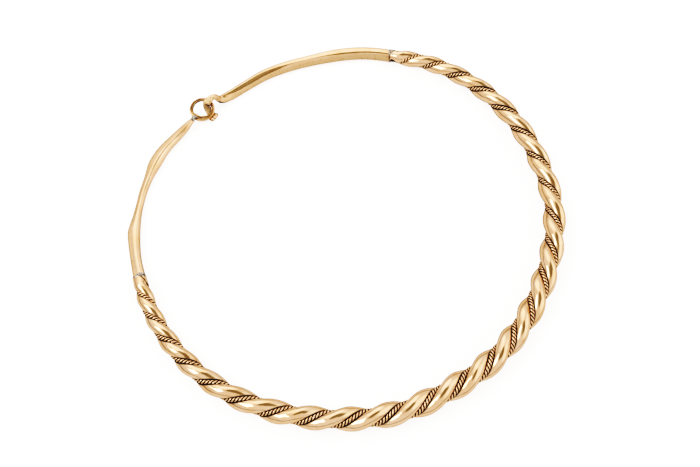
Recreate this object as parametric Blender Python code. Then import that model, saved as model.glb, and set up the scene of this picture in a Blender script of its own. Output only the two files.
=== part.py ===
"""A twisted neck ring that closes at the back with a hook and a loop, lying flat.

Two tapering round strands are twisted together for two thirds of the way round, and a thin
twisted wire lies in each of the two grooves between them. A hammered bar of lozenge section
is joined to each end of the twist. One bar ends in a wire loop, and the other is drawn out
into a flat hook that goes over and under the wire of the loop.

Frame: +Z up with the underside on Z = 0, the clasp at the back (+Y), the thickest part of
the twist at the front (-Y), and the bar with the hook on the +X side. Metres.
Places round the ring are lengths along its bend, measured from the front, positive
towards the hook.
"""

import math

import bmesh
import bpy
import numpy as np

MM = 0.001

# The bend, an ellipse seen from above, through the middle of the twist.
BEND_HALF_X = 94.5 * MM
BEND_HALF_Y = 90.5 * MM
BEND_CENTRE_Y = 0.95 * MM
BEND_STEPS = 4000

# The twist. Its radius is that of the round envelope that both strands touch.
TWIST_START = -194.5 * MM
TWIST_END = 191.1 * MM
TWIST_RADIUS = (
    (0, 5.3),
    (40, 5.3),
    (80, 4.95),
    (112, 4.75),
    (135, 4.5),
    (152, 4.2),
    (166, 4.0),
    (180, 3.8),
    (195, 3.45),
)
HALF_TURNS = ((-192, 0.2), (-115, 6.26), (-38, 11.32), (38, 16.37), (115, 21.37), (192, 27.12))
# How far the hand-bent twist strays outside the ellipse, in mm.
STRAY = (
    (-195, 0.0),
    (-165, -0.1),
    (-135, 0.25),
    (-80, 0.1),
    (-55, 0.9),
    (-32, 0.2),
    (-14, 0.5),
    (38, -0.35),
    (68, 0.25),
    (96, -0.5),
    (125, -0.1),
    (165, 0.3),
    (175, -0.1),
    (182, -0.75),
    (188, -1.1),
    (191.5, -1.1),
)
GAP = 0.3 * MM
TWIST_STEP = 3.5 * MM
STRAND_SIDES = 10
WIRE_RADIUS = ((0, 0.95), (120, 0.97), (190, 0.95))
WIRE_SIDES = 6
WIRE_START = 7.5 * MM

# What lying on the ground has worn flat.
STRAND_WEAR = 0.2 * MM
BAR_WEAR = 0.35 * MM

# The bars: place round the ring, width, height, and how far outside the bend, in mm.
BAR_SIDES = 12
BAR_FULLNESS = 1.6
BAR_STEP = 3.6 * MM
LOOP_BAR = (
    (-194.8, 5.4, 5.2, 0.0),
    (-204, 4.9, 4.9, 0.5),
    (-214, 5.5, 4.6, 1.15),
    (-218, 5.65, 4.4, 1.42),
    (-222, 4.8, 4.2, 1.2),
    (-225, 4.1, 4.0, 1.05),
    (-229, 3.6, 3.7, 0.95),
    (-238, 3.7, 3.6, 1.1),
    (-246, 4.2, 3.7, 1.15),
    (-254, 6.2, 3.8, 1.4),
    (-261, 5.8, 3.8, 1.15),
    (-268, 5.2, 3.7, 0.2),
    (-276, 4.2, 3.3, -1.1),
    (-282.3, 3.1, 2.6, -1.45),
)
LOOP_BAR_TIP_HEIGHT = 2.9 * MM
LOOP_BAR_LIFT_START = -268 * MM
HOOK_BAR = (
    (191.4, 6.4, 5.6, -0.35),
    (204, 6.6, 5.3, -0.3),
    (213, 6.8, 5.0, -0.75),
    (222, 6.6, 4.8, -1.5),
    (232, 5.8, 4.6, -2.15),
    (244, 5.9, 4.5, -2.2),
    (256, 5.9, 4.5, -2.45),
    (266, 5.5, 4.4, -3.25),
    (274, 5.3, 4.3, -3.45),
    (280, 5.1, 4.2, -3.1),
)

# The hook: centre of each section, its width and its thickness in mm, and the direction
# of its width seen from above, in degrees from +X.
HOOK = (
    (8.34, 88.47, 2.45, 4.5, 3.90, 86),
    (7.73, 88.93, 3.30, 3.6, 3.20, 87),
    (7.63, 89.24, 4.40, 3.0, 2.80, 88),
    (7.42, 89.74, 5.35, 3.2, 2.90, 90),
    (6.23, 90.05, 5.90, 3.3, 2.00, 93),
    (4.54, 90.11, 6.20, 3.5, 1.10, 96),
    (2.26, 90.01, 6.25, 3.9, 0.90, 99),
    (1.17, 89.73, 5.35, 3.6, 0.85, 112),
    (0.65, 89.24, 3.70, 3.2, 0.80, 130),
    (0.32, 87.86, 2.35, 3.1, 0.80, 150),
    (0.05, 86.49, 1.60, 3.8, 0.80, 168),
    (-0.10, 85.38, 1.35, 4.5, 0.90, 180),
    (-0.14, 84.54, 1.30, 4.9, 1.50, 184),
    (-0.02, 83.79, 1.30, 5.2, 2.00, 186),
    (0.06, 83.08, 1.30, 4.8, 1.20, 186),
)
HOOK_FULLNESS = 2.2
HOOK_STEPS = 2

# The loop: a wire bent once round, its thinner tail lying inside its start. Turns are
# measured from the level line through its centre.
LOOP_CENTRE = (-1.6 * MM, 90.2 * MM, 3.6 * MM)
LOOP_RADIUS = 5.08 * MM
LOOP_FLARE = 0.2 * MM
LOOP_WIRE_RADIUS = 0.9 * MM
LOOP_TAIL_RADIUS = 0.45 * MM
LOOP_TAIL_GAP = 0.12 * MM
LOOP_TILT = math.radians(12)
LOOP_LIFT_DIRECTION = (0.749, 0.663)
LOOP_START = 225
LOOP_SWEEP = 430
LOOP_FLARE_END = 90
LOOP_THINNING = (335, 365)
LOOP_SIDES = 8
LOOP_STEPS = 38

SHARP_ANGLE = math.radians(40)


def eased(at, marks):
    """Value at a place, on the smooth curve through (place, value) marks."""
    place, value = np.array(sorted(marks), float).T
    slope = np.gradient(value, place)
    at = min(max(at, place[0]), place[-1])
    i = min(int(np.searchsorted(place, at, side="right")) - 1, len(place) - 2)
    step = place[i + 1] - place[i]
    t = (at - place[i]) / step
    start = (1 + 2 * t) * (1 - t) ** 2 * value[i] + t * (1 - t) ** 2 * step * slope[i]
    end = t * t * (3 - 2 * t) * value[i + 1] - t * t * (1 - t) * step * slope[i + 1]
    return start + end


def column(marks, index):
    """The marks of one measure of a bar."""
    return [(mark[0], mark[index]) for mark in marks]


def unit(vector):
    return vector / np.linalg.norm(vector)


TURNS = np.linspace(-math.pi, math.pi, BEND_STEPS + 1)
BEND_X = BEND_HALF_X * np.sin(TURNS)
BEND_Y = -BEND_HALF_Y * np.cos(TURNS)
LENGTHS = np.concatenate(([0], np.cumsum(np.hypot(np.diff(BEND_X), np.diff(BEND_Y)))))
LENGTHS -= LENGTHS[-1] / 2


def bend(along):
    """Point on the bend at a length from the front, with its tangent and outward normal."""
    turn = np.interp(along, LENGTHS, TURNS)
    point = np.array((BEND_HALF_X * math.sin(turn), BEND_CENTRE_Y - BEND_HALF_Y * math.cos(turn), 0))
    tangent = unit(np.array((BEND_HALF_X * math.cos(turn), BEND_HALF_Y * math.sin(turn), 0)))
    return point, tangent, np.array((tangent[1], -tangent[0], 0))


UP = np.array((0, 0, 1.0))
TWIST_LAW = np.polyfit(*zip(*HALF_TURNS), len(HALF_TURNS) - 1)


def twist_radius(along):
    return eased(abs(along) / MM, TWIST_RADIUS) * MM


def wire_radius(along):
    return eased(abs(along) / MM, WIRE_RADIUS) * MM


def strand_radius(along):
    """Two strands and the gap between them fill the envelope."""
    return (twist_radius(along) - GAP / 2) / 2


def wire_angle(along):
    """Angle of the first wire about the bend, from the top towards the outside."""
    return -math.pi * np.polyval(TWIST_LAW, along / MM)


def groove_radius(along):
    """How far from the middle a wire lies, to clear both strands all along their twist."""
    strand_out = strand_radius(along) + GAP / 2
    rise = MM / abs(wire_angle(along + MM / 2) - wire_angle(along - MM / 2))
    turn = np.linspace(0, 1.2, 61)
    low, high = 0.0, 2 * twist_radius(along)
    for _ in range(20):
        out = (low + high) / 2
        apart = strand_out**2 + out**2 - 2 * strand_out * out * np.sin(turn) + (rise * turn) ** 2
        if math.sqrt(apart.min()) < strand_radius(along) + wire_radius(along) + GAP:
            low = out
        else:
            high = out
    return out


def middle_height(along):
    """Height of the middle of the twist when its underside lies on the ground."""
    return max(twist_radius(along), groove_radius(along) + wire_radius(along)) - STRAND_WEAR


def twist_middle(along):
    point, _, outward = bend(along)
    return point + outward * eased(along / MM, STRAY) * MM + UP * middle_height(along)


def twisted(along, out, angle):
    """Point at a distance from the middle of the twist, in the direction of an angle."""
    outward = bend(along)[2]
    return twist_middle(along) + out * (math.cos(angle) * UP + math.sin(angle) * outward)


def strand_point(along, number):
    out = strand_radius(along) + GAP / 2
    return twisted(along, out, wire_angle(along) + (number - 0.5) * math.pi)


def wire_point(along, number):
    return twisted(along, groove_radius(along), wire_angle(along) + (number - 1) * math.pi)


def lofted(name, sections, material):
    """A closed solid through sections that all have the same number of points."""
    mesh = bpy.data.meshes.new(name)
    made = bmesh.new()
    rows = [[made.verts.new(point) for point in section] for section in sections]
    count = len(rows[0])
    for near, far in zip(rows, rows[1:]):
        for i in range(count):
            j = (i + 1) % count
            made.faces.new((near[i], near[j], far[j], far[i]))
    made.faces.new(list(reversed(rows[0])))
    made.faces.new(rows[-1])
    bmesh.ops.recalc_face_normals(made, faces=made.faces)
    made.to_mesh(mesh)
    made.free()
    mesh.materials.append(material)
    solid = bpy.data.objects.new(name, mesh)
    bpy.context.scene.collection.objects.link(solid)
    mesh.shade_smooth()
    mesh.set_sharp_from_angle(angle=SHARP_ANGLE)
    return solid


def worn_flat(solid):
    """Plane off whatever reaches below the ground."""
    made = bmesh.new()
    made.from_mesh(solid.data)
    bmesh.ops.triangulate(made, faces=made.faces)
    bmesh.ops.bisect_plane(
        made,
        geom=made.verts[:] + made.edges[:] + made.faces[:],
        dist=0.01 * MM,
        plane_co=(0, 0, 0),
        plane_no=(0, 0, -1),
        clear_outer=True,
    )
    rim = [edge for edge in made.edges if edge.is_boundary]
    bmesh.ops.holes_fill(made, edges=rim)
    bmesh.ops.recalc_face_normals(made, faces=made.faces)
    made.to_mesh(solid.data)
    made.free()


def around(centre, wide, high, across, up, sides, fullness=2.0):
    """Section about a centre: an ellipse, or with less fullness a softened lozenge."""
    points = []
    for i in range(sides):
        turn = 2 * math.pi * i / sides
        x = math.copysign(abs(math.sin(turn)) ** (2 / fullness), math.sin(turn))
        z = math.copysign(abs(math.cos(turn)) ** (2 / fullness), math.cos(turn))
        points.append(centre + across * x * wide / 2 + up * z * high / 2)
    return points


def rod(point_at, places, radius_at, sides):
    """Sections of a round rod whose ends are cut square to the bend."""
    small = 0.01 * MM
    sections = []
    for along in places:
        centre = point_at(along)
        tangent = unit(point_at(along + small) - point_at(along - small))
        outward = centre - twist_middle(along)
        outward = unit(outward - outward.dot(tangent) * tangent)
        across = np.cross(tangent, outward)
        section = around(centre, 2 * radius_at(along), 2 * radius_at(along), across, outward, sides)
        if along in (places[0], places[-1]):
            cut = bend(along)[1]
            section = [p - tangent * (p - centre).dot(cut) / tangent.dot(cut) for p in section]
        sections.append(section)
    return sections


def twist_places(short):
    """Places along the twist, that much short of its joints."""
    start, end = TWIST_START + short, TWIST_END - short
    return np.linspace(start, end, round((end - start) / TWIST_STEP))


def make_strand(number, material):
    places = twist_places(GAP / 2)
    sections = rod(lambda along: strand_point(along, number), places, strand_radius, STRAND_SIDES)
    worn_flat(lofted(f"strand_{number}", sections, material))


def make_twisted_wire(number, material):
    places = twist_places(WIRE_START)
    sections = rod(lambda along: wire_point(along, number), places, wire_radius, WIRE_SIDES)
    worn_flat(lofted(f"twisted_wire_{number}", sections, material))


def bar_section(marks, along, middle_height=None):
    """Section of a hammered bar, whose underside is worn flat unless it is held higher."""
    width, height, out = (eased(along / MM, column(marks, i)) * MM for i in (1, 2, 3))
    point, _, outward = bend(along)
    middle = height / 2 - BAR_WEAR if middle_height is None else middle_height
    return around(point + outward * out + UP * middle, width, height, outward, UP, BAR_SIDES, BAR_FULLNESS)


def bar_places(marks):
    start, end = marks[0][0] * MM, marks[-1][0] * MM
    return np.linspace(start, end, round(abs(end - start) / BAR_STEP))


def make_loop_bar(material):
    """The bar that carries the loop, its tip lifted to the height of the loop's wire."""
    tip = LOOP_BAR[-1][0] * MM
    low = eased(LOOP_BAR_LIFT_START / MM, column(LOOP_BAR, 2)) * MM / 2 - BAR_WEAR
    sections = []
    for along in bar_places(LOOP_BAR):
        middle = None
        if along < LOOP_BAR_LIFT_START:
            middle = low + (LOOP_BAR_TIP_HEIGHT - low) * share(along, LOOP_BAR_LIFT_START, tip)
        sections.append(bar_section(LOOP_BAR, along, middle))
    worn_flat(lofted("loop_bar", sections, material))


def make_hook_bar(material):
    """The bar that is drawn out into the hook, in one piece."""
    sections = [bar_section(HOOK_BAR, along) for along in bar_places(HOOK_BAR)]
    along, width, height, out = HOOK_BAR[-1]
    point, _, outward = bend(along * MM)
    start = (point + outward * out * MM) / MM + UP * (height / 2 - BAR_WEAR / MM)
    lean = math.degrees(math.atan2(outward[1], outward[0]))
    marks = [(*start, width, height, lean), *HOOK]
    end = len(marks) - 1

    def measure(at, index):
        return eased(at, [(i, mark[index]) for i, mark in enumerate(marks)])

    def centre(at):
        return np.array([measure(at, i) for i in range(3)])

    for at in np.linspace(0, end, end * HOOK_STEPS + 1)[1:]:
        tangent = unit(centre(min(at + 0.1, end)) - centre(at - 0.1))
        lean = math.radians(measure(at, 5))
        across = np.array((math.cos(lean), math.sin(lean), 0))
        across = unit(across - across.dot(tangent) * tangent)
        up = np.cross(across, tangent)
        fullness = BAR_FULLNESS + (HOOK_FULLNESS - BAR_FULLNESS) * min(at / 4, 1)
        wide, thick = measure(at, 3) * MM, measure(at, 4) * MM
        sections.append(around(centre(at) * MM, wide, thick, across, up, BAR_SIDES, fullness))
    worn_flat(lofted("hook_bar", sections, material))


def share(at, start, end):
    """How far a place is from start to end, from 0 to 1, gently at both ends."""
    part = min(max((at - start) / (end - start), 0), 1)
    return part * part * (3 - 2 * part)


def make_loop(material):
    """The wire of the loop, with its thinned tail tucked inside its start."""
    lift = np.array((*LOOP_LIFT_DIRECTION, 0))
    level = np.cross(lift, UP)
    rise = lift * math.cos(LOOP_TILT) + UP * math.sin(LOOP_TILT)
    normal = np.cross(level, rise)
    tail_inward = LOOP_FLARE + LOOP_WIRE_RADIUS + LOOP_TAIL_RADIUS + LOOP_TAIL_GAP
    sections = []
    for swept in np.linspace(0, LOOP_SWEEP, LOOP_STEPS + 1):
        thinned = share(swept, *LOOP_THINNING)
        wire = LOOP_WIRE_RADIUS + (LOOP_TAIL_RADIUS - LOOP_WIRE_RADIUS) * thinned
        flare = LOOP_FLARE * (1 - share(swept, 0, LOOP_FLARE_END))
        radius = LOOP_RADIUS + flare - (tail_inward - 2 * LOOP_FLARE) * thinned
        turn = math.radians(LOOP_START + swept)
        out = level * math.cos(turn) + rise * math.sin(turn)
        centre = np.array(LOOP_CENTRE) + out * radius
        sections.append(around(centre, 2 * wire, 2 * wire, out, normal, LOOP_SIDES))
    lofted("loop", sections, material)


def metal(name, colour, roughness):
    material = bpy.data.materials.new(name)
    material.use_nodes = True
    shader = material.node_tree.nodes["Principled BSDF"]
    shader.inputs["Base Color"].default_value = (*colour, 1)
    shader.inputs["Metallic"].default_value = 1
    shader.inputs["Roughness"].default_value = roughness
    return material


def main():
    for thing in list(bpy.data.objects):
        bpy.data.objects.remove(thing)
    polished = metal("polished_bronze", (0.80, 0.55, 0.24), 0.18)
    drawn = metal("drawn_wire_bronze", (0.55, 0.36, 0.14), 0.3)
    hammered = metal("hammered_bronze", (0.82, 0.58, 0.28), 0.24)
    for number in (1, 2):
        make_strand(number, polished)
        make_twisted_wire(number, drawn)
    make_loop_bar(hammered)
    make_hook_bar(hammered)
    make_loop(polished)


main()
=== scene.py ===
"""A twisted neck ring of polished golden bronze, closed by a hook and a loop.

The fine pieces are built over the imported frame: two smooth twisted strands, a three-ply
twisted wire in each groove, two hammered bars, the hook, the loop of wire, and solder at
the joints. Places round the ring are lengths along its bend, measured from the front,
positive towards the hook.
"""

import math

import bmesh
import bpy
import numpy as np
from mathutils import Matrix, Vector, noise


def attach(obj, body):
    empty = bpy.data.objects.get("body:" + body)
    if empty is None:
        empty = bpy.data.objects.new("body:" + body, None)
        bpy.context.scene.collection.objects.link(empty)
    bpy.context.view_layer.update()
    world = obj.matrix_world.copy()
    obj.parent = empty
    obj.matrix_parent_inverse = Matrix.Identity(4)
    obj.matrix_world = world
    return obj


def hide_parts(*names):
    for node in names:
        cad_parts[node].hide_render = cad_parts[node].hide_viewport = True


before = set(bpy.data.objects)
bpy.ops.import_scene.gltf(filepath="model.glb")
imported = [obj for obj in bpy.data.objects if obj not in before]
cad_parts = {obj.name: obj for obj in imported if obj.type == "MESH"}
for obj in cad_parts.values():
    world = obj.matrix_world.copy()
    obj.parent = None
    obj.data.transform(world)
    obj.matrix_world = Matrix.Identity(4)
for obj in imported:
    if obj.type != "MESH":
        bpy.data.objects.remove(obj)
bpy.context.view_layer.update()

MM = 0.001
UP = np.array((0, 0, 1.0))

# The bend of the ring, an ellipse seen from above.
BEND_HALF_X = 94.5 * MM
BEND_HALF_Y = 90.5 * MM
BEND_CENTRE_Y = 0.95 * MM

# The twist: radius of its round envelope and half turns made, by place in mm.
TWIST_START = -194.5 * MM
TWIST_END = 191.1 * MM
TWIST_RADIUS = (
    (0, 5.3),
    (40, 5.3),
    (80, 4.95),
    (112, 4.75),
    (135, 4.5),
    (152, 4.2),
    (166, 4.0),
    (180, 3.8),
    (195, 3.45),
)
HALF_TURNS = ((-192, 0.2), (-115, 6.26), (-38, 11.32), (38, 16.37), (115, 21.37), (192, 27.12))
# How far the middle of the twist strays outwards from the bend, in mm by place.
STRAY = (
    (-195, 0.0),
    (-165, -0.1),
    (-135, 0.25),
    (-80, 0.1),
    (-55, 0.9),
    (-32, 0.2),
    (-14, 0.5),
    (38, -0.35),
    (68, 0.25),
    (96, -0.5),
    (125, -0.1),
    (165, 0.3),
    (175, -0.1),
    (182, -0.75),
    (188, -1.1),
    (191.5, -1.1),
)
FRAME_GAP = 0.3 * MM
STRAND_WEAR = 0.2 * MM
STRAND_SIDES = 40
STRAND_STEP = 0.4 * MM
CUT_REACH = 12 * MM
# The strands are flattened against each other, more towards the bars. By place, how far each fills
# its half of the twist.
STRAND_FULLNESS = (
    (-190, 0.4),
    (-120, 0.32),
    (-60, 0.15),
    (0, 0.1),
    (45, 0.18),
    (75, 0.3),
    (120, 0.38),
    (190, 0.5),
)
# Next to the bars they are pressed together until only a thin line parts them.
PRESSED_LENGTH = (2.5 * MM, 9 * MM)
PRESSED_GAP = 0.75 * MM
PRESSED_LESS_DARK = 0.02
# How much nearer its crest a strand's tarnish and painted shade reach, by place.
TARNISH_AND_SHADE_GAIN = ((0, 0.01), (100, 0.02), (160, 0.05), (190, 0.04))
PRESSED_SHRINK = 0.16
TAPER_LENGTH = 6 * MM
# Unevenness left by forging: its length along the metal in mm, how fine it is around, and its depth.
STRAND_FORGING = ((10, 1.1, 0.11 * MM), (3.5, 2.2, 0.03 * MM))
BAR_FORGING = ((26, 2.2, 0.045 * MM), (5, 1.3, 0.03 * MM))

# The three-ply wire in each groove. Its plies are sunk into the strands, deepest near the bars.
WIRE_RADIUS = ((0, 1.1), (100, 1.06), (190, 1.0))
WIRE_SINK = 0.16 * MM
PLIES = 3
PLY_SHARE = 1 / (1 + 2 / math.sqrt(3))
WIRE_START = {"loop_side": 7.5 * MM, "hook_side": 5.6 * MM}
PLY_PITCH = 4.9 * MM
PLY_SIDES = 10
PLY_STEP = 0.26 * MM


def smooth(at, marks):
    """Values at places in mm, on the smooth curve through (place, value) marks."""
    place, value = np.array(sorted(marks), float).T
    slope = np.gradient(value, place)
    at = np.clip(at, place[0], place[-1])
    i = np.minimum(np.searchsorted(place, at, side="right") - 1, len(place) - 2)
    step = place[i + 1] - place[i]
    t = (at - place[i]) / step
    start = (1 + 2 * t) * (1 - t) ** 2 * value[i] + t * (1 - t) ** 2 * step * slope[i]
    end = t * t * (3 - 2 * t) * value[i + 1] - t * t * (1 - t) * step * slope[i + 1]
    return start + end


def unit(vectors):
    return vectors / np.linalg.norm(vectors, axis=-1, keepdims=True)


def share(at, start, end):
    """How far from start to end, from 0 to 1, gently at both ends."""
    part = np.clip((at - start) / (end - start), 0, 1)
    return part * part * (3 - 2 * part)


TURNS = np.linspace(-math.pi, math.pi, 4001)
LENGTHS = np.concatenate(
    (
        [0],
        np.cumsum(
            np.hypot(np.diff(BEND_HALF_X * np.sin(TURNS)), np.diff(BEND_HALF_Y * np.cos(TURNS)))
        ),
    )
)
LENGTHS -= LENGTHS[-1] / 2
TWIST_LAW = np.polyfit(*zip(*HALF_TURNS), len(HALF_TURNS) - 1)


def bend(along):
    """Points on the bend at lengths from the front, with tangents and outward normals."""
    turn = np.interp(along, LENGTHS, TURNS)
    flat = np.zeros_like(turn)
    point = np.stack((BEND_HALF_X * np.sin(turn), BEND_CENTRE_Y - BEND_HALF_Y * np.cos(turn), flat), -1)
    tangent = unit(np.stack((BEND_HALF_X * np.cos(turn), BEND_HALF_Y * np.sin(turn), flat), -1))
    outward = np.stack((tangent[..., 1], -tangent[..., 0], flat), -1)
    return point, tangent, outward


def twist_radius(along):
    return smooth(np.abs(along) / MM, TWIST_RADIUS) * MM


def wire_radius(along):
    return smooth(np.abs(along) / MM, WIRE_RADIUS) * MM


def wire_angle(along):
    """Angle of the first wire about the bend, from the top towards the outside."""
    return -math.pi * np.polyval(TWIST_LAW, along / MM)


def groove_radius(along, gap, strand_gap):
    """How far from the middle a wire lies, to clear both strands by a gap all along their twist."""
    strand = (twist_radius(along) - strand_gap / 2) / 2
    strand_out = strand + strand_gap / 2
    rise = MM / np.abs(wire_angle(along + MM / 2) - wire_angle(along - MM / 2))
    turn = np.linspace(0, 1.2, 61)[:, None]
    low, high = np.zeros_like(along), 2 * twist_radius(along)
    for _ in range(20):
        out = (low + high) / 2
        apart = strand_out**2 + out**2 - 2 * strand_out * out * np.sin(turn) + (rise * turn) ** 2
        near = np.sqrt(apart.min(axis=0)) < strand + wire_radius(along) + gap
        low, high = np.where(near, out, low), np.where(near, high, out)
    return out


def middle_height(along):
    """Height of the middle of the twist, as the frame has it."""
    wire_reach = groove_radius(along, FRAME_GAP, FRAME_GAP) + wire_radius(along)
    return np.maximum(twist_radius(along), wire_reach) - STRAND_WEAR


def twist_middle(along):
    point, _, outward = bend(along)
    sideways = (smooth(along / MM, STRAY) * MM)[:, None]
    return point + outward * sideways + UP * middle_height(along)[:, None]


def twisted(along, out, angle):
    """Points at distances from the middle of the twist, in the directions of angles."""
    outward = bend(along)[2]
    aim = np.cos(angle)[:, None] * UP + np.sin(angle)[:, None] * outward
    return twist_middle(along) + out[:, None] * aim


def rings_about(centres, facing, radius, sides):
    """Round sections square to a line of centres; angle 0 is on the facing side."""
    tangent = unit(np.gradient(centres, axis=0))
    facing = unit(facing - (facing * tangent).sum(-1, keepdims=True) * tangent)
    across = np.cross(tangent, facing)
    turn = np.linspace(0, 2 * math.pi, sides, endpoint=False)[:, None]
    radius = np.reshape(radius, (-1, 1)) if np.ndim(radius) < 2 else radius
    aim = np.cos(turn) * facing[:, None] + np.sin(turn) * across[:, None]
    return centres[:, None] + radius[..., None] * aim, turn[:, 0]


def skinned(name, rings, material, **marks):
    """A closed smooth mesh through rings of points. Each mark is a number or a vector on every point."""
    count, sides = rings.shape[:2]
    base = (np.arange(count - 1) * sides)[:, None]
    near, far = np.arange(sides), (np.arange(sides) + 1) % sides
    quads = np.stack((base + near, base + far, base + sides + far, base + sides + near), -1)
    caps = [list(range(sides))[::-1], list(range((count - 1) * sides, count * sides))]
    mesh = bpy.data.meshes.new(name)
    mesh.from_pydata(rings.reshape(-1, 3).tolist(), [], quads.reshape(-1, 4).tolist() + caps)
    for mark, values in marks.items():
        vector = np.ndim(values) == 3
        layer = mesh.attributes.new(mark, "FLOAT_VECTOR" if vector else "FLOAT", "POINT")
        values = values if vector else np.broadcast_to(values, (count, sides))
        layer.data.foreach_set("vector" if vector else "value", values.astype(np.float32).ravel())
    shape = bmesh.new()
    shape.from_mesh(mesh)
    if shape.calc_volume(signed=True) < 0:
        mesh.flip_normals()
    shape.free()
    mesh.materials.append(material)
    mesh.shade_smooth()
    made = bpy.data.objects.new(name, mesh)
    bpy.context.scene.collection.objects.link(made)
    return made


def laid(run, outline):
    """Each point's place in a worked surface: length along it in mm, and where it is around it."""
    along = np.broadcast_to(np.reshape(run, (-1, 1, 1)), (*outline.shape[:2], 1))
    return np.concatenate((along, outline), -1)


def forged(rings, centres, lay_of_points, forging):
    """Push a skin in and out in long soft facets, as hammer and burnisher leave it."""
    away = unit(rings - centres[:, None])
    for length, fineness, depth in forging:
        places = (lay_of_points * (1 / length, fineness, fineness)).reshape(-1, 3)
        push = np.array([noise.noise(Vector(place)) for place in places]).reshape(rings.shape[:2])
        rings = rings + away * depth * push[..., None]
    return rings


def dented(rings, centres, dent):
    """Sink a skin towards its middle around a point."""
    *at, radius, depth = np.array(dent) * MM
    fall = np.exp(-(((rings - at) / radius) ** 2).sum(-1))[..., None]
    return rings + unit(centres[:, None] - rings) * depth * fall


def sooted(rings, dent):
    """How much painted shade a dent puts on each point, from 0 to 1."""
    *at, radius, _ = np.array(dent) * MM
    return np.exp(-(((rings - at) / radius) ** 2).sum(-1))


def cut_square(piece, along, keep):
    """Cut a piece off square to the bend at a place, keeping the side that keep (+1 or -1) points to."""
    point, tangent, _ = bend(np.array([along]))
    shape = bmesh.new()
    shape.from_mesh(piece.data)
    here = Vector(point[0])
    near = [v for v in shape.verts if (v.co - here).length < CUT_REACH]
    within = set(near)
    edges = [e for e in shape.edges if within.issuperset(e.verts)]
    faces = [f for f in shape.faces if within.issuperset(f.verts)]
    cut = bmesh.ops.bisect_plane(
        shape,
        geom=[*near, *edges, *faces],
        dist=0.001 * MM,
        plane_co=here,
        plane_no=-keep * Vector(tangent[0]),
        clear_outer=True,
    )
    rim = [e for e in cut["geom_cut"] if isinstance(e, bmesh.types.BMEdge)]
    bmesh.ops.holes_fill(shape, edges=rim)
    bmesh.ops.recalc_face_normals(shape, faces=shape.faces)
    shape.to_mesh(piece.data)
    shape.free()


def strand_reach(turn, radius, pressed):
    """Distance from a strand's middle to its skin, which fills half of the twist where it is pressed."""
    bulged = radius * (np.sqrt(4 - np.sin(turn) ** 2) - np.cos(turn))
    flat = (radius - PRESSED_GAP / 2) / np.maximum(-np.cos(turn), 0.01)
    half_disc = (bulged**-8 + flat**-8) ** (-1 / 8)
    return radius + (half_disc - radius) * pressed


def strand(number, material):
    """One smooth round strand. Its side towards the other strand and the wires is darkened with tarnish and
    painted shade.
    """
    spare = 2.5 * MM
    length = TWIST_END - TWIST_START + 2 * spare
    along = np.linspace(TWIST_START - spare, TWIST_END + spare, round(length / STRAND_STEP))
    to_end = np.minimum(along - TWIST_START, TWIST_END - along)
    pressed = 1 - share(to_end, *PRESSED_LENGTH)
    radius = twist_radius(along) / 2 * (1 - PRESSED_SHRINK * (1 - share(to_end, 0, TAPER_LENGTH)))
    centres = twisted(along, radius, wire_angle(along) + (number - 0.5) * math.pi)
    turn = np.linspace(0, 2 * math.pi, STRAND_SIDES, endpoint=False)
    fullness = np.maximum(pressed, smooth(along / MM, STRAND_FULLNESS))
    reach = strand_reach(turn, radius[:, None], fullness[:, None])
    rings, _ = rings_about(centres, centres - twist_middle(along), reach, STRAND_SIDES)
    around = np.broadcast_to(np.stack((np.cos(turn), np.sin(turn)), -1), (*rings.shape[:2], 2))
    lay_of_points = laid(along / MM + number * 500, around)
    rings = forged(rings, centres, lay_of_points, STRAND_FORGING)
    rings = dented(rings, centres, HOLLOW)
    from_crest = np.abs((turn + math.pi) % (2 * math.pi) - math.pi) / math.pi
    # The tarnish and painted shade reach further up the strand towards the bars, and less far where the
    # strands are pressed.
    gain = smooth(np.abs(along) / MM, TARNISH_AND_SHADE_GAIN) * (1 - pressed) - PRESSED_LESS_DARK * pressed
    rings[..., 2] = np.maximum(rings[..., 2], 0)
    made = skinned(
        f"strand_{number}_polished",
        rings,
        material,
        # Tarnish and painted shade towards the grooves, plus painted shade in the hollow by the hook's bar.
        recess=from_crest + gain[:, None] + sooted(rings, HOLLOW),
        lay_of_points=lay_of_points,
    )
    cut_square(made, TWIST_START + 0.05 * MM, 1)
    cut_square(made, TWIST_END - 0.05 * MM, -1)
    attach(made, "root")
    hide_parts(f"strand_{number}")


def wire_plies(number, material):
    """The plies of one twisted wire, laid together left-handed."""
    start, end = TWIST_START + WIRE_START["loop_side"], TWIST_END - WIRE_START["hook_side"]
    along = np.linspace(start, end, round((end - start) / PLY_STEP))
    coarse = np.linspace(start, end, 200)
    out = np.interp(along, coarse, groove_radius(coarse, -WIRE_SINK, 0))
    middles = twisted(along, out, wire_angle(along) + (number - 1) * math.pi)
    tangent = unit(np.gradient(middles, axis=0))
    away = middles - twist_middle(along)
    away = unit(away - (away * tangent).sum(-1, keepdims=True) * tangent)
    across = np.cross(tangent, away)
    laid = np.concatenate(([0], np.cumsum(np.linalg.norm(np.diff(middles, axis=0), axis=1))))
    whole = wire_radius(along)[:, None]
    thin = whole * PLY_SHARE
    for ply in range(1, PLIES + 1):
        turn = (-2 * math.pi * laid / PLY_PITCH + ply * 2 * math.pi / PLIES)[:, None]
        offset = np.cos(turn) * away + np.sin(turn) * across
        rings, around = rings_about(middles + offset * (whole - thin), offset, thin, PLY_SIDES)
        rings[..., 2] = np.maximum(rings[..., 2], 0)
        lie = ((rings - middles[:, None]) * away[:, None]).sum(-1) / whole
        from_outside = np.abs((around + math.pi) % (2 * math.pi) - math.pi) / math.pi
        made = skinned(
            f"wire_{number}_ply_{ply}",
            rings,
            material,
            # Tarnish and painted shade on the side down in the groove, and painted shade between the plies.
            recess=np.clip(0.5 - lie / 2, 0, 1),
            between=np.broadcast_to(from_outside, rings.shape[:2]),
        )
        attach(made, "root")
        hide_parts(f"twisted_wire_{number}")
    return middles[0], middles[-1]


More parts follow.
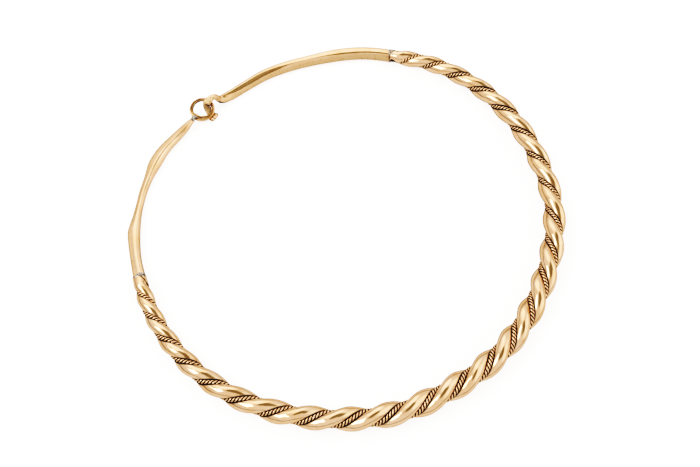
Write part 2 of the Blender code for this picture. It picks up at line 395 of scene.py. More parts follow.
# The bars, nearly as the frame has them: place, width, height and offset outwards, in mm.
BAR_WEAR = 0.35 * MM
LOOP_BAR = (
    (-194.8, 5.4, 5.2, 0.0),
    (-204, 4.9, 4.9, 0.5),
    (-214, 5.5, 4.6, 1.15),
    (-218, 5.65, 4.4, 1.42),
    (-222, 4.8, 4.2, 1.2),
    (-225, 4.1, 4.0, 1.05),
    (-229, 3.6, 3.7, 0.95),
    (-238, 3.7, 3.6, 1.1),
    (-246, 4.2, 3.7, 1.15),
    (-254, 6.2, 3.8, 1.4),
    (-261, 5.8, 3.8, 1.15),
    (-268, 5.2, 3.7, 0.2),
    (-276, 4.2, 3.3, -1.1),
    (-282.3, 2.2, 2.1, -1.45),
)
LOOP_BAR_TIP_HEIGHT = 2.9 * MM
LOOP_BAR_LIFT_START = -268
HOOK_BAR = (
    (191.4, 6.4, 5.6, -0.35),
    (204, 6.6, 5.3, -0.3),
    (213, 6.8, 5.0, -0.75),
    (222, 6.6, 4.8, -1.5),
    (232, 5.8, 4.6, -2.15),
    (244, 5.9, 4.5, -2.2),
    (256, 5.9, 4.5, -2.45),
    (266, 5.5, 4.4, -3.25),
    (274, 5.3, 4.3, -3.45),
    (280, 5.1, 4.2, -3.1),
)
# The narrow facet along the top of each bar: place, and where it starts and ends, as shares of the half
# width outwards. On the hook's bar it ends at a crisp crease.
HOOK_BAR_FACET = (
    (191, -0.18, -0.36),
    (204, -0.18, -0.42),
    (214, -0.18, -0.44),
    (224, -0.16, -0.27),
    (236, -0.15, -0.22),
    (242, -0.1, -0.25),
    (248, 0.03, -0.42),
    (257, 0.16, -0.52),
    (268, 0.18, -0.5),
    (275, 0.18, -0.3),
    (279, 0.15, 0.1),
)
# On the loop's bar: place, the outer crease, the start and end of a small step down, and how steeply
# the step and the facet after it fall.
LOOP_BAR_FACETS = (
    (-283, -0.1, -0.25, -0.42, 0.64, 0.1),
    (-272, -0.1, -0.22, -0.42, 0.64, 0.1),
    (-257, -0.02, -0.18, -0.36, 0.6, 0.12),
    (-249, 0.04, -0.22, -0.4, 0.45, 0.24),
    (-240, 0.04, -0.3, -0.48, 0.32, 0.34),
    (-195, 0.04, -0.3, -0.48, 0.32, 0.34),
)
BAR_SECTION_STEP = 0.5 * MM
CORNER_POINTS = 6
FACET_POINTS = 4


def planed(corners, rounding):
    """Points round sections whose straight facets meet at rounded corners."""
    before, after = np.roll(corners, 1, axis=1), np.roll(corners, -1, axis=1)
    rounding = np.asarray(rounding)[..., None]
    start, end = corners + (before - corners) * rounding, corners + (after - corners) * rounding
    points = []
    for i in range(corners.shape[1]):
        for t in np.linspace(0, 1, CORNER_POINTS):
            points.append((1 - t) ** 2 * start[:, i] + 2 * t * (1 - t) * corners[:, i] + t * t * end[:, i])
        following = start[:, (i + 1) % corners.shape[1]]
        for t in np.linspace(0, 1, FACET_POINTS + 1)[1:-1]:
            points.append((1 - t) * end[:, i] + t * following)
    outline = np.stack(points, axis=1)
    high, low = outline.max(axis=1, keepdims=True), outline.min(axis=1, keepdims=True)
    return np.where(outline > 0, outline / high, outline / -low)


def column(marks, index):
    return [(mark[0], mark[index]) for mark in marks]


def bar_rings(marks, corners_at, rounding, middle_height=None):
    """Sections of a hammered bar along the bend."""
    start, end = marks[0][0] * MM, marks[-1][0] * MM
    along = np.linspace(start, end, round(abs(end - start) / BAR_SECTION_STEP))
    width, height, out = (smooth(along / MM, column(marks, i)) * MM for i in (1, 2, 3))
    point, _, outward = bend(along)
    lift = height / 2 - BAR_WEAR
    if middle_height is not None:
        lift = middle_height(along, lift)
    middles = point + outward * out[:, None] + UP * lift[:, None]
    outline = planed(corners_at(along / MM), rounding)
    x = outline[..., :1] * width[:, None, None] / 2
    z = outline[..., 1:] * height[:, None, None] / 2
    return along, middles, middles[:, None] + outward[:, None] * x + UP * z, outline


def corners(rows, like):
    """Corners of a bar's section round from its outer side, as shares of its half width and height."""
    return np.stack([np.stack(np.broadcast_arrays(x, z, like)[:2], -1) for x, z in rows], 1)


def hook_bar_corners(place):
    """A round outer flank, a sloping facet down to a crisp crease, and a steep inner facet."""
    start, end = (smooth(place, column(HOOK_BAR_FACET, i)) for i in (1, 2))
    rows = (
        (1.0, -0.25),
        (0.94, 0.3),
        (0.6, 0.85),
        (start, 1.0),
        (end, 1 - HOOK_BAR_FACET_FALL * (start - end)),
        (-1.0, -0.1),
        (-0.5, -0.95),
        (0.5, -0.95),
    )
    return corners(rows, end)


def loop_bar_corners(place):
    """A steep outer facet, a level one, a small step down, and an inner one, steeper away from the loop."""
    outer, start, end, step_fall, inner_fall = (
        smooth(place, column(LOOP_BAR_FACETS, i)) for i in range(1, 6)
    )
    low = 1 - step_fall * (start - end)
    inner = -0.76
    rows = (
        (1.0, -0.15),
        (0.8, 0.5),
        (outer, 0.97),
        (start, 1.0),
        (end, low),
        (inner, low - inner_fall * (end - inner)),
        (-1.0, -0.1),
        (-0.5, -0.95),
        (0.5, -0.95),
    )
    return corners(rows, end)


HOOK_BAR_ROUNDING = (0.4, 0.45, 0.35, 0.2, 0.06, 0.3, 0.4, 0.4)
HOOK_BAR_FACET_FALL = 0.42
LOOP_BAR_ROUNDING = (0.4, 0.3, 0.2, 0.2, 0.15, 0.3, 0.4, 0.4, 0.4)
# The flanks are duller than the facets worn bright on top: the outer one on the loop's bar and the
# inner one on the hook's, from and to these shares of the half width.
FLANK_DULLNESS = 0.7
OUTER_FLANK = (0.2, 0.4)
INNER_FLANK = (-0.45, -0.65)
# A fine line of painted shade along the crease at the foot of the loop bar's small step: how dark it is by
# place, and its half width as a share.
LOOP_BAR_CREASE_SHADE = ((-283, 0.6), (-262, 0.8), (-253, 0.66), (-246, 0.55), (-195, 0.52))
LOOP_BAR_CREASE_SHADE_WIDTH = 0.06


def loop_bar(material):
    tip = LOOP_BAR[-1][0]

    def lifted(along, lift):
        low = smooth(np.array([LOOP_BAR_LIFT_START]), column(LOOP_BAR, 2))[0] * MM / 2 - BAR_WEAR
        part = share(along / MM, LOOP_BAR_LIFT_START, tip)
        return np.where(along / MM < LOOP_BAR_LIFT_START, low + (LOOP_BAR_TIP_HEIGHT - low) * part, lift)

    along, middles, rings, outline = bar_rings(
        LOOP_BAR, loop_bar_corners, LOOP_BAR_ROUNDING, lifted
    )
    lay_of_points = laid(along / MM, outline)
    rings = forged(rings, middles, lay_of_points, BAR_FORGING)
    rings[..., 2] = np.maximum(rings[..., 2], 0)
    # Painted shade along the crease at the foot of the step, on the top only.
    from_line = outline[..., 0] - smooth(along / MM, column(LOOP_BAR_FACETS, 3))[:, None]
    on_top = outline[..., 1] > 0
    crease_shade = smooth(along / MM, LOOP_BAR_CREASE_SHADE)[:, None]
    soot = crease_shade * on_top * np.exp(-((from_line / LOOP_BAR_CREASE_SHADE_WIDTH) ** 2))
    dull = FLANK_DULLNESS * share(outline[..., 0], *OUTER_FLANK)
    made = skinned("loop_bar_hammered", rings, material, lay_of_points=lay_of_points, soot=soot, dull=dull)
    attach(made, "root")
    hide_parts("loop_bar")
    return middles[0], rings[0]


# The hook: centre of each section, its width, its thickness, and the direction of its width.
HOOK = (
    (8.34, 88.47, 2.45, 4.5, 3.90, 86),
    (7.73, 88.93, 3.30, 3.6, 3.20, 87),
    (7.63, 89.24, 4.40, 3.0, 2.80, 88),
    (7.42, 89.74, 5.35, 3.2, 2.90, 90),
    (6.23, 90.05, 5.90, 3.3, 2.00, 93),
    (4.54, 90.11, 6.20, 3.5, 1.10, 96),
    (2.26, 90.01, 6.25, 3.9, 0.90, 99),
    (1.17, 89.73, 5.35, 3.6, 0.85, 112),
    (0.65, 89.30, 3.70, 3.17, 0.80, 130),
    (0.47, 87.78, 2.35, 3.5, 0.80, 150),
    (0.05, 86.49, 1.60, 3.8, 0.80, 168),
    (-0.10, 85.38, 1.35, 4.5, 0.90, 180),
    (-0.14, 84.75, 1.30, 5.0, 1.60, 184),
    (-0.06, 84.15, 1.30, 5.2, 2.00, 186),
    (0.00, 83.60, 1.30, 4.8, 1.90, 186),
    (0.04, 83.22, 1.28, 3.8, 1.40, 186),
    (0.06, 83.06, 1.25, 2.0, 0.70, 186),
)
# The tip is rolled, and the roll is ridged across: its rows, and a ridge's width in mm, depth and the
# darkness of the painted shade in its troughs.
ROLL = (12.4, 13.2)
ROLL_RIDGE_WIDTH = 1.4
ROLL_RIDGE_DEPTH = 0.2
ROLL_TROUGH_SHADE = 0.7
HOOK_FULLNESS = 2.2
# Where the hook is painted with shade, by its rows: its blade inside the loop, in the loop's shade; a
# shadow line under the lip above the blade, which is darkest at its inner end; and the blunt underside of
# the bar's end.
BLADE = (7.6, 8.4, 12.6, 13.2)
BLADE_SHADE_DARKNESS = 0.38
LIP, LIP_WIDTH, LIP_SHADOW_DARKNESS = 8.0, 0.16, 1.1
LIP_SLANT = 0.2
# Where the hook turns dull and tan, by its rows.
DULL = (5.5, 7.5)
# Rows where the bar's blunt underside is painted with shade, and how dark.
UNDERSIDE = (1.5, 3.0)
UNDERSIDE_SHADE_DARKNESS = 0.95
# Dents: centre, radius and depth in mm; each dent is also painted with shade. The hollow is where the
# hook's bar meets the twist.
HOLLOW = (80.9, 42.2, 3.3, 1.5, 1.7)
DIMPLE = (4.4, 90.1, 6.9, 0.75, 0.22)
# How dark the painted shade in the dimple is.
DIMPLE_SHADE_DARKNESS = 0.62
HOOK_STEPS = 10
# The bend where the hook rises from its bar: how far it is eased on either side, in sections, and how much.
RISE_REACH = (8, 52)
RISE_EASING = 160


def hook_bar(material):
    """The bar that is drawn out into the hook, in one piece."""
    along, middles, rings, outline = bar_rings(HOOK_BAR, hook_bar_corners, HOOK_BAR_ROUNDING)
    last, width, height, out = HOOK_BAR[-1]
    point, _, outward = bend(np.array([last * MM]))
    start = (point[0] + outward[0] * out * MM) / MM + UP * (height / 2 - BAR_WEAR / MM)
    marks = [(*start, width, height, math.degrees(math.atan2(outward[0][1], outward[0][0]))), *HOOK]
    end = len(marks) - 1
    at = np.linspace(0, end, end * HOOK_STEPS + 1)
    x, y, z, wide, thick, lean = (
        smooth(at, [(i, mark[k]) for i, mark in enumerate(marks)]) for k in range(6)
    )
    centres = np.stack((x, y, z), -1) * MM
    tangent = unit(np.gradient(centres, axis=0))
    lean = np.radians(lean)
    across = np.stack((np.cos(lean), np.sin(lean), 0 * lean), -1)
    across = unit(across - (across * tangent).sum(-1, keepdims=True) * tangent)
    up = np.cross(across, tangent)
    turn = np.arctan2(outline[-1, :, 0], outline[-1, :, 1])
    sine, cosine = np.sin(turn), np.cos(turn)
    power = 2 / HOOK_FULLNESS
    rounded = np.stack(
        (np.sign(sine) * np.abs(sine) ** power, np.sign(cosine) * np.abs(cosine) ** power), -1
    )
    part = share(at, 0, 2)[:, None, None]
    outlines = outline[-1] * (1 - part) + rounded * part
    rolled = share(at, *ROLL)[:, None]
    ridge = np.cos(math.pi * outlines[..., 0] * wide[:, None] / ROLL_RIDGE_WIDTH) * rolled
    thick = thick[:, None] * (1 + ROLL_RIDGE_DEPTH * ridge)
    hook = (
        centres[:, None]
        + across[:, None] * outlines[..., :1] * wide[:, None, None] * MM / 2
        + up[:, None] * (outlines[..., 1] * thick)[..., None] * MM / 2
    )
    rings = np.concatenate((rings, hook[1:]))
    middles = np.concatenate((middles, centres[1:]))
    run = np.concatenate((along / MM, last + at[1:]))
    lay_of_points = laid(run, np.concatenate((outline, outlines[1:])))
    first, last = len(along) - RISE_REACH[0], len(along) + RISE_REACH[1]
    for _ in range(RISE_EASING):
        beside = rings[first - 1 : last - 1] + 2 * rings[first:last] + rings[first + 1 : last + 1]
        rings[first:last] = beside / 4
    rings = forged(rings, middles, lay_of_points, BAR_FORGING)
    for dent in (HOLLOW, DIMPLE):
        rings = dented(rings, middles, dent)
    rings[..., 2] = np.maximum(rings[..., 2], 0)
    # Painted shade in the hollow and the dimple.
    soot = sooted(rings, HOLLOW) + sooted(rings, DIMPLE) * DIMPLE_SHADE_DARKNESS
    # Painted shade on the blade inside the loop.
    blade_shade = BLADE_SHADE_DARKNESS * share(at, *BLADE[:2]) * (1 - share(at, *BLADE[2:]))
    inwards = -outlines[..., 0]
    from_lip = at[:, None] - LIP - LIP_SLANT * inwards
    # A painted shadow line under the lip's edge.
    lip_shadow = LIP_SHADOW_DARKNESS * np.exp(-((from_lip / LIP_WIDTH) ** 2)) * share(inwards, -0.9, 0.6)
    # Painted shade under the blunt end of the bar.
    underside_shade = UNDERSIDE_SHADE_DARKNESS * (1 - share(at, *UNDERSIDE))[:, None] * (outlines[..., 1] < -0.2)
    # Painted shade in the troughs between the roll's ridges.
    roll = ROLL_TROUGH_SHADE * np.clip(-ridge, 0, 1)
    soot[len(along) :] += (blade_shade[:, None] + roll + lip_shadow + underside_shade)[1:]
    dull = (share(at, *DULL) - share(at, *ROLL))[1:]
    dull = np.concatenate((np.zeros(len(along)), dull))[:, None]
    dull = np.maximum(dull, FLANK_DULLNESS * share(lay_of_points[..., 1], *INNER_FLANK))
    made = skinned("hook_bar_hammered", rings, material, lay_of_points=lay_of_points, soot=soot, dull=dull)
    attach(made, "root")
    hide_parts("hook_bar")
    return middles[0], rings[0]


# The loop of wire: its outer turn, and an inner turn that parts from it at the front.
LOOP_CENTRE = np.array((-1.6, 90.2, 3.6)) * MM
LOOP_RADIUS = 5.08 * MM
LOOP_FLARE = 0.2 * MM
LOOP_FLARE_END = 90
# Each turn: its name, offset from the middle of the loop's wire, height, wire radius and sweep in degrees.
LOOP_TURNS = (
    ("loop_wire_outer_turn", 0.3 * MM, 0.0, 0.6 * MM, 368),
    ("loop_wire_inner_turn", -0.42 * MM, -0.05 * MM, 0.51 * MM, 455),
)
# Where the inner turn parts and comes back, in degrees swept, and how far it parts.
LOOP_PARTING = (335, 365)
LOOP_RETURN = (418, 452)
LOOP_PARTED = 0.85 * MM
LOOP_TILT = math.radians(12)
LOOP_LIFT_DIRECTION = np.array((0.749, 0.663, 0))
LOOP_START = 225
LOOP_SIDES = 24
LOOP_STEPS = 400


def loop(material):
    level = np.cross(LOOP_LIFT_DIRECTION, UP)
    rise = LOOP_LIFT_DIRECTION * math.cos(LOOP_TILT) + UP * math.sin(LOOP_TILT)
    above = np.cross(level, rise)
    above = above * np.sign(above[2])
    for name, offset, height, wire, sweep in LOOP_TURNS:
        swept = np.linspace(0, sweep, LOOP_STEPS + 1)
        flare = LOOP_FLARE * (1 - share(swept, 0, LOOP_FLARE_END))
        parted = share(swept, *LOOP_PARTING) - share(swept, *LOOP_RETURN)
        radius = LOOP_RADIUS + flare + offset - LOOP_PARTED * parted
        turn = np.radians(LOOP_START + swept)[:, None]
        out = level * np.cos(turn) + rise * np.sin(turn)
        centres = LOOP_CENTRE + out * radius[:, None] + above * height
        rings, turn = rings_about(centres, out, np.full_like(swept, wire), LOOP_SIDES)
        around = np.broadcast_to(np.stack((np.cos(turn), np.sin(turn)), -1), (*rings.shape[:2], 2))
        inner = np.broadcast_to(0.5 - np.cos(turn) / 2, rings.shape[:2])
        touching = inner if offset > 0 else 1 - inner
        lay_of_points = laid(swept / 10, around)
        made = skinned(name, rings, material, lay_of_points=lay_of_points, inner=inner, touching=touching)
        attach(made, "root")
        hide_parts("loop")


# Solder: a ragged band at each end of the twist, a bead on each end of the wires, a lump at the loop.
BAND_HALF_WIDTH = 1.25 * MM
BAND_THICKNESS = 0.09 * MM
BAND_SINK = 0.25 * MM
BAND_RAGGED = 0.6
BAND_STEPS = 17
BEAD_RADIUS = 0.7 * MM
BEAD_LUMPS = 0.25
BEAD_RINGS, BEAD_SIDES = 15, 20
BEAD_POLE = 0.08
LUMP_GRAIN = 0.9 * MM
LUMP_SIDES = 24
LUMP_DEPTH = 0.3 * MM
LUMP_AT_LOOP = (
    (-9.4, 88.9, 3.2, 0.45),
    (-8.7, 89.2, 3.6, 0.95),
    (-7.8, 89.5, 4.0, 1.05),
    (-7.1, 89.3, 4.0, 0.85),
    (-6.5, 88.95, 3.9, 0.55),
    (-6.0, 88.7, 3.8, 0.2),
)


def lumpy(points, centres, grain, depth):
    away = unit(points - centres)
    push = np.array([noise.noise(Vector(p / grain)) for p in points.reshape(-1, 3)])
    return points + away * (push * depth).reshape(*points.shape[:2], 1)


def solder_band(name, place, side, bar_end, material):
    """The solder where a bar meets the twist, flush with both and ragged at its edges."""
    middle, ring = bar_end
    _, tangent, outward = (v[0] for v in bend(np.array([place])))
    spokes = ring - middle
    turn = np.arctan2(spokes @ outward, spokes[:, 2])
    bar_reach = np.linalg.norm(spokes, axis=1)
    twist_reach = twist_radius(place) * (1 - PRESSED_SHRINK)
    t = np.linspace(1, -1, BAND_STEPS)[:, None]
    ragged = [noise.noise(Vector((math.cos(a) * 3, math.sin(a) * 3, place / MM))) for a in turn]
    shift = side * t * BAND_HALF_WIDTH * (1 + BAND_RAGGED * np.array(ragged))
    on_twist = 1 - share(t, -0.3, 0.3)
    centres = middle + (twist_middle(np.array([place]))[0] - middle) * on_twist
    reach = bar_reach + (twist_reach - bar_reach) * on_twist + BAND_THICKNESS - BAND_SINK * t**4
    aim = np.cos(turn)[:, None] * UP + np.sin(turn)[:, None] * outward
    rings = centres[:, None] + reach[..., None] * aim + shift[..., None] * tangent
    rings = lumpy(rings, centres[:, None], 0.8 * MM, 0.12 * MM)
    rings = dented(rings, centres, HOLLOW)
    rings[..., 2] = np.maximum(rings[..., 2], 0)
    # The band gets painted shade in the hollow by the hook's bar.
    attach(skinned(name, rings, material, soot=sooted(rings, HOLLOW)), "root")


def solder_bead(name, centre, material):
    """A small drop of solder that closes the end of a twisted wire."""
    fall = np.linspace(BEAD_POLE, math.pi - BEAD_POLE, BEAD_RINGS)[:, None]
    turn = np.linspace(0, 2 * math.pi, BEAD_SIDES, endpoint=False)[None]
    height = np.broadcast_to(np.cos(fall), (BEAD_RINGS, BEAD_SIDES))
    ball = np.stack((np.sin(fall) * np.cos(turn), np.sin(fall) * np.sin(turn), height), -1)
    points = lumpy(centre + ball * BEAD_RADIUS, centre, LUMP_GRAIN, BEAD_LUMPS * MM)
    points[..., 2] = np.maximum(points[..., 2], 0)
    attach(skinned(name, points[::-1], material, soot=0.0), "root")


def solder_at_loop(material):
    """The lump of solder that joins the loop's wire to the tip of its bar."""
    at = np.linspace(0, len(LUMP_AT_LOOP) - 1, 49)
    x, y, z, radius = (
        smooth(at, [(i, mark[k]) for i, mark in enumerate(LUMP_AT_LOOP)]) * MM for k in range(4)
    )
    centres = np.stack((x, y, z), -1)
    rings, _ = rings_about(centres, np.broadcast_to(UP, centres.shape), radius, LUMP_SIDES)
    rings = lumpy(rings, centres[:, None], LUMP_GRAIN, LUMP_DEPTH)
    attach(skinned("solder_at_loop", rings, material, soot=0.0), "root")


def hex_colour(code):
    """An sRGB hex colour, made linear."""
    parts = (int(code[i : i + 2], 16) / 255 for i in (0, 2, 4))
    return (*(p / 12.92 if p <= 0.04045 else ((p + 0.055) / 1.055) ** 2.4 for p in parts), 1.0)


def lay(tree, kind, sockets=None, **settings):
    """Add a node with its settings, its sockets holding values or joined to other nodes' outputs."""
    made = tree.nodes.new(kind)
    for name, value in settings.items():
        setattr(made, name, value)
    for name, value in (sockets or {}).items():
        if isinstance(value, bpy.types.NodeSocket):
            tree.links.new(value, made.inputs[name])
        else:
            made.inputs[name].default_value = value
    return made


MIX_FACTOR, MIX_A, MIX_B, MIX_RESULT = 0, 6, 7, 2
PER_MM = 1 / MM


def bare_metal(name):
    material = bpy.data.materials.new(name)
    material.use_nodes = True
    material.node_tree.nodes.clear()
    return material, material.node_tree


def marked(tree, name):
    return lay(tree, "ShaderNodeAttribute", attribute_name=name).outputs["Fac"]


def between(tree, value, low, high, start=0.0, end=1.0):
    """Remap a value from the range low to high onto start to end, and hold it there."""
    sockets = {"Value": value, "From Min": low, "From Max": high, "To Min": start, "To Max": end}
    return lay(tree, "ShaderNodeMapRange", sockets).outputs[0]


def blend(tree, part, first, second):
    sockets = {MIX_FACTOR: part, MIX_A: first, MIX_B: second}
    return lay(tree, "ShaderNodeMix", sockets, data_type="RGBA").outputs[MIX_RESULT]


def patches(tree, size, detail=2.0):
    """Soft noise whose patches are about this many mm across."""
    place = lay(tree, "ShaderNodeTexCoord").outputs["Object"]
    sockets = {"Vector": place, "Scale": PER_MM / size, "Detail": detail}
    return lay(tree, "ShaderNodeTexNoise", sockets).outputs[0]


def worked_lines(tree, length, fineness, detail=3.0):
    """Noise drawn out along the metal, as burnishing, drawing or filing leaves it."""
    place = lay(tree, "ShaderNodeAttribute", attribute_name="lay_of_points").outputs["Vector"]
    stretched = lay(
        tree, "ShaderNodeVectorMath", {0: place, 1: (1 / length, fineness, fineness)}, operation="MULTIPLY"
    ).outputs[0]
    return lay(tree, "ShaderNodeTexNoise", {"Vector": stretched, "Scale": 1.0, "Detail": detail}).outputs[0]


def sum_of(tree, first, second, share_of_second=1.0):
    sockets = {0: second, 1: share_of_second, 2: first}
    return lay(tree, "ShaderNodeMath", sockets, operation="MULTIPLY_ADD").outputs[0]


def greater(tree, first, second):
    return lay(tree, "ShaderNodeMath", {0: first, 1: second}, operation="MAXIMUM").outputs[0]


def finish(tree, colour, roughness, height, depth):
    """Bring a metal's colour, roughness and surface marks together."""
    bump = lay(tree, "ShaderNodeBump", {"Height": height, "Strength": 1.0, "Distance": depth})
    shader = lay(
        tree,
        "ShaderNodeBsdfPrincipled",
        {
            "Base Color": colour,
            "Roughness": roughness,
            "Metallic": 1.0,
            "Normal": bump.outputs[0],
            "Specular Tint": EDGE_TINT,
        },
    )
    lay(tree, "ShaderNodeOutputMaterial", {"Surface": shader.outputs[0]})


EDGE_TINT = hex_colour("EBDDC8")
PALE_GOLD = hex_colour("F6CAA2")
DEEP_GOLD = hex_colour("EBB98A")
# Dark brown for tarnish in the grooves, and for painted shade in grooves, hollows and under the hook.
TARNISH_AND_SHADE = hex_colour("1A0F06")
# Brown painted shade between the plies of the wire.
PLY_SHADE_BROWN = hex_colour("2C190A")
AGED_GOLD = hex_colour("C2935A")
# Brown painted shade where the loop's turns touch, and grey painted shade with some tarnish along its inner
# edge.
SEAM_SHADE_BROWN = hex_colour("4E3417")
SHADE_GREY = hex_colour("544B40")
DULL_TAN = hex_colour("D4AE82")
PIT_BROWN = hex_colour("A88458")
SOLDER_GREY = hex_colour("8C837A")
SOLDER_PALE = hex_colour("CFC6BD")
SOLDER_STAIN = hex_colour("3E362E")


def polished_bronze(name):
    """Golden tin bronze, forged round and burnished: crisp reflections broken by long soft facets,
    dark brown tarnish kept down in the grooves and deepened there with painted shade."""
    material, tree = bare_metal(name)
    # Tarnish deepened with painted shade towards the grooves.
    tarnish_and_shade = between(tree, marked(tree, "recess"), 0.48, 0.545)
    tone = between(tree, patches(tree, 5), 0.35, 0.7)
    colour = blend(tree, tarnish_and_shade, blend(tree, tone, PALE_GOLD, DEEP_GOLD), TARNISH_AND_SHADE)
    lines = worked_lines(tree, 26, 2.2, 1.0)
    roughness = sum_of(tree, between(tree, lines, 0.3, 0.7, 0.04, 0.12), tarnish_and_shade, 0.5)
    finish(tree, colour, roughness, lines, 0.035 * MM)
    return material


def drawn_wire(name):
    """Fine bronze wire, drawn and laid in plies: worn bright on each turn, with brown painted shade between
    the turns and black tarnish with painted shade down beside the strands."""
    material, tree = bare_metal(name)
    # Brown painted shade where the plies meet.
    ply_shade = between(tree, marked(tree, "between"), 0.15, 0.33)
    # Black tarnish with painted shade on the side down beside the strands.
    sunk = between(tree, marked(tree, "recess"), 0.5, 0.7)
    tarnish_and_shade = greater(tree, ply_shade, sunk)
    tone = between(tree, patches(tree, 2.5), 0.35, 0.7)
    shade_mix = blend(tree, ply_shade, blend(tree, tone, PALE_GOLD, DEEP_GOLD), PLY_SHADE_BROWN)
    colour = blend(tree, sunk, shade_mix, TARNISH_AND_SHADE)
    roughness = sum_of(tree, between(tree, tone, 0.0, 1.0, 0.12, 0.24), tarnish_and_shade, 0.4)
    finish(tree, colour, roughness, patches(tree, 0.5), 0.01 * MM)
    return material


def hammered_bronze(name):
    """Golden bronze bar, hammered and scraped along its length: long soft streaks, short file marks
    and a few small pits."""
    material, tree = bare_metal(name)
    # Painted shade: in the hollow and the dimple, on the blade and under the lip, the bar's underside and
    # the roll's troughs, and along the loop bar's crease.
    soot = between(tree, marked(tree, "soot"), 0.3, 0.75)
    dull = marked(tree, "dull")
    tone = between(tree, patches(tree, 6), 0.35, 0.7)
    gold = blend(tree, dull, blend(tree, tone, PALE_GOLD, DEEP_GOLD), DULL_TAN)
    pits = sum_of(tree, 0.0, between(tree, worked_lines(tree, 0.8, 2.6, 1.0), 0.58, 0.74), dull)
    colour = blend(tree, soot, blend(tree, pits, gold, PIT_BROWN), TARNISH_AND_SHADE)
    streaks = worked_lines(tree, 30, 5)
    filing = worked_lines(tree, 0.5, 1.2)
    roughness = sum_of(tree, between(tree, streaks, 0.3, 0.7, 0.1, 0.22), greater(tree, soot, dull), 0.4)
    finish(tree, colour, roughness, sum_of(tree, streaks, filing, 0.15), 0.075 * MM)
    return material


def loop_wire_bronze(name):
    """Polished bronze wire bent to a ring: bright outside, with brown painted shade where its turns touch,
    and grey painted shade with some tarnish along its inner edge."""
    material, tree = bare_metal(name)
    # Grey painted shade with some tarnish along the inner edge, broken up in patches.
    shade_mix = sum_of(tree, marked(tree, "inner"), patches(tree, 1.5), 0.5)
    grey = between(tree, shade_mix, 0.88, 1.04)
    # Brown painted shade where the turns touch.
    tarnish_and_shade = between(tree, marked(tree, "touching"), 0.58, 0.78)
    aged = between(tree, patches(tree, 2.5), 0.4, 0.62)
    tone = between(tree, patches(tree, 3), 0.35, 0.7)
    gold = blend(tree, aged, blend(tree, tone, PALE_GOLD, DEEP_GOLD), AGED_GOLD)
    inner_shade_grey = blend(tree, grey, gold, SHADE_GREY)
    colour = blend(tree, tarnish_and_shade, inner_shade_grey, SEAM_SHADE_BROWN)
    roughness = sum_of(tree, between(tree, tone, 0.0, 1.0, 0.06, 0.14), tarnish_and_shade, 0.25)
    finish(tree, colour, roughness, worked_lines(tree, 3, 3), 0.02 * MM)
    return material


def grey_solder(name):
    """Old silver-grey solder, melted and left as it ran: dull, lumpy, with a skin of brown in places."""
    material, tree = bare_metal(name)
    # Painted shade in the hollow where the hook's bar meets the twist.
    soot = between(tree, marked(tree, "soot"), 0.3, 0.75)
    tone = between(tree, patches(tree, 1.1, 3.0), 0.42, 0.58)
    stain = between(tree, patches(tree, 0.8), 0.52, 0.62)
    grey = blend(tree, tone, SOLDER_GREY, SOLDER_PALE)
    colour = blend(tree, soot, blend(tree, stain, grey, SOLDER_STAIN), TARNISH_AND_SHADE)
    finish(tree, colour, between(tree, tone, 0.0, 1.0, 0.42, 0.26), patches(tree, 0.4, 3.0), 0.05 * MM)
    return material


def build():
    polished = polished_bronze("polished_bronze")
    wire = drawn_wire("drawn_wire_bronze")
    hammered = hammered_bronze("hammered_bronze")
    solder = grey_solder("grey_solder")
    for number in (1, 2):
        strand(number, polished)
        for end, centre in zip(("loop_side", "hook_side"), wire_plies(number, wire)):
            solder_bead(f"solder_bead_{number}_{end}", centre, solder)
    solder_band("solder_band_loop_side", TWIST_START - 0.15 * MM, -1, loop_bar(hammered), solder)
    solder_band("solder_band_hook_side", TWIST_END - 0.7 * MM, 1, hook_bar(hammered), solder)
    loop(loop_wire_bronze("loop_wire_bronze"))
    solder_at_loop(solder)


# The view: from above the loop's side, as the ring lies.
AIM = Vector((-5.21, -6.32, 4.0)) * MM
VIEW_FROM = Vector((-153.98, -137.94, 377.59)) * MM
VIEW_ANGLE = math.radians(40)


def camera():
    made = bpy.data.objects.new("camera", bpy.data.cameras.new("camera"))
    bpy.context.scene.collection.objects.link(made)
    made.data.angle = VIEW_ANGLE
    made.data.clip_start = 0.01
    made.location = VIEW_FROM
    made.rotation_mode = "QUATERNION"
    made.rotation_quaternion = (AIM - VIEW_FROM).to_track_quat("-Z", "Y")
    bpy.context.scene.camera = made


def floor():
    mesh = bpy.data.meshes.new("floor")
    half = 3.0
    corners_of_card = [(-half, -half, 0), (half, -half, 0), (half, half, 0), (-half, half, 0)]
    mesh.from_pydata(corners_of_card, [], [(0, 1, 2, 3)])
    made = bpy.data.objects.new("floor", mesh)
    bpy.context.scene.collection.objects.link(made)
    material, tree = bare_metal("white_card")
    card = {"Base Color": hex_colour("E0E0E0"), "Roughness": 0.7, "Emission Strength": CARD_GLOW}
    shader = lay(tree, "ShaderNodeBsdfPrincipled", {**card, "Emission Color": hex_colour("FFFFFF")})
    lay(tree, "ShaderNodeOutputMaterial", {"Surface": shader.outputs[0]})
    mesh.materials.append(material)
    made.visible_glossy = False


# The studio: a white tent round the ring, open above to a brown ceiling. Each part of the tent: the
# way it lies, the angles in degrees where it is full and where it fades out, and what it adds.
TENT_LEVEL = 0.45
TENT_WARMTH = (1.0, 0.98, 0.965)
TENT_PARTS = (
    ((0.56, -0.64, 0.5), (18, 44), 0.3),
    ((0.4, 0.55, 0.72), (14, 34), 0.38),
    ((-0.73, 0.66, 0.2), (12, 40), -0.06),
    ((0.33, 0.3, -0.9), (18, 44), -0.24),
)
TENT_OPENING = ((0.08, -0.1, 0.992), (16, 28))
TENT_BROWN = (0.125, 0.122, 0.068, 1.0)
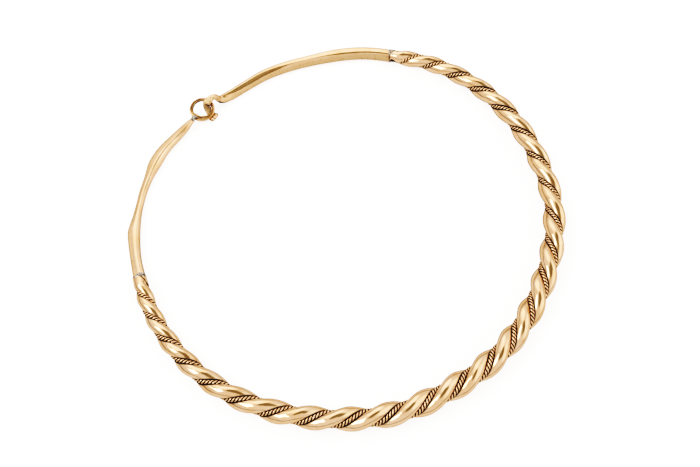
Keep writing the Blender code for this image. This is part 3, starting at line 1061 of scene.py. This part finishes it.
# A soft dark band where the tent meets the floor: its height and the half heights where it is full and
# where it fades out, as sines, and what it adds.
TENT_HEM = (0.04, 0.05, 0.2)
TENT_HEM_CHANGE = -0.25
# The soft box: the way it stands, its distance and sides in metres, and its power in watts.
SOFT_BOX_WAY = (-0.506, 0.421, 0.753)
SOFT_BOX_DISTANCE = 2.0
SOFT_BOX_SIDES = (1.3, 0.8)
SOFT_BOX_POWER = 6.8
CARD_GLOW = 0.45
# The tone curve, by light and tone: firm darks and a long soft shoulder.
FULL_LIGHT = 0.85
TONE_CURVE = (
    (0.018, 0.017),
    (0.05, 0.067),
    (0.09, 0.188),
    (0.15, 0.376),
    (0.242, 0.578),
    (0.36, 0.76),
    (0.436, 0.832),
    (0.65, 0.953),
)


def tent_part(tree, aim, way, edges):
    """1 towards a part of the tent, fading to 0 between two angles from it."""
    way = Vector(way).normalized()
    facing = lay(tree, "ShaderNodeVectorMath", {0: aim, 1: way}, operation="DOT_PRODUCT").outputs["Value"]
    full, faded = (math.cos(math.radians(edge)) for edge in edges)
    sockets = {"Value": facing, "From Min": faded, "From Max": full}
    return lay(tree, "ShaderNodeMapRange", sockets, interpolation_type="SMOOTHSTEP").outputs[0]


def tent():
    world = bpy.data.worlds.new("tent")
    bpy.context.scene.world = world
    world.use_nodes = True
    tree = world.node_tree
    tree.nodes.clear()
    aim = lay(tree, "ShaderNodeTexCoord").outputs["Generated"]
    level = lay(tree, "ShaderNodeValue").outputs[0]
    level.default_value = TENT_LEVEL
    for way, edges, change in TENT_PARTS:
        level = sum_of(tree, level, tent_part(tree, aim, way, edges), change)
    height = lay(tree, "ShaderNodeSeparateXYZ", {0: aim}).outputs["Z"]
    middle, full, faded = TENT_HEM
    off = lay(tree, "ShaderNodeMath", {0: height, 1: middle}, operation="SUBTRACT").outputs[0]
    off = lay(tree, "ShaderNodeMath", {0: off}, operation="ABSOLUTE").outputs[0]
    level = sum_of(tree, level, between(tree, off, full, faded, 1.0, 0.0), TENT_HEM_CHANGE)
    sockets = {0: TENT_WARMTH, "Scale": level}
    walls = lay(tree, "ShaderNodeVectorMath", sockets, operation="SCALE").outputs[0]
    colour = blend(tree, tent_part(tree, aim, *TENT_OPENING), walls, TENT_BROWN)
    background = lay(tree, "ShaderNodeBackground", {"Color": colour, "Strength": 1.0})
    lay(tree, "ShaderNodeOutputWorld", {"Surface": background.outputs[0]})


def soft_box():
    light = bpy.data.lights.new("soft_box", "AREA")
    light.shape = "RECTANGLE"
    light.size, light.size_y = SOFT_BOX_SIDES
    light.energy = SOFT_BOX_POWER
    made = bpy.data.objects.new("soft_box", light)
    bpy.context.scene.collection.objects.link(made)
    way = Vector(SOFT_BOX_WAY).normalized()
    made.location = way * SOFT_BOX_DISTANCE
    made.rotation_mode = "QUATERNION"
    made.rotation_quaternion = way.to_track_quat("Z", "Y")


def tone():
    view = bpy.context.scene.view_settings
    view.view_transform = "Standard"
    view.use_curve_mapping = True
    mapping = view.curve_mapping
    mapping.white_level = (FULL_LIGHT,) * 3
    mapping.extend = "HORIZONTAL"
    for light, shown in TONE_CURVE:
        mapping.curves[3].points.new(light / FULL_LIGHT, shown)
    mapping.update()


build()
camera()
floor()
tent()
soft_box()
tone()
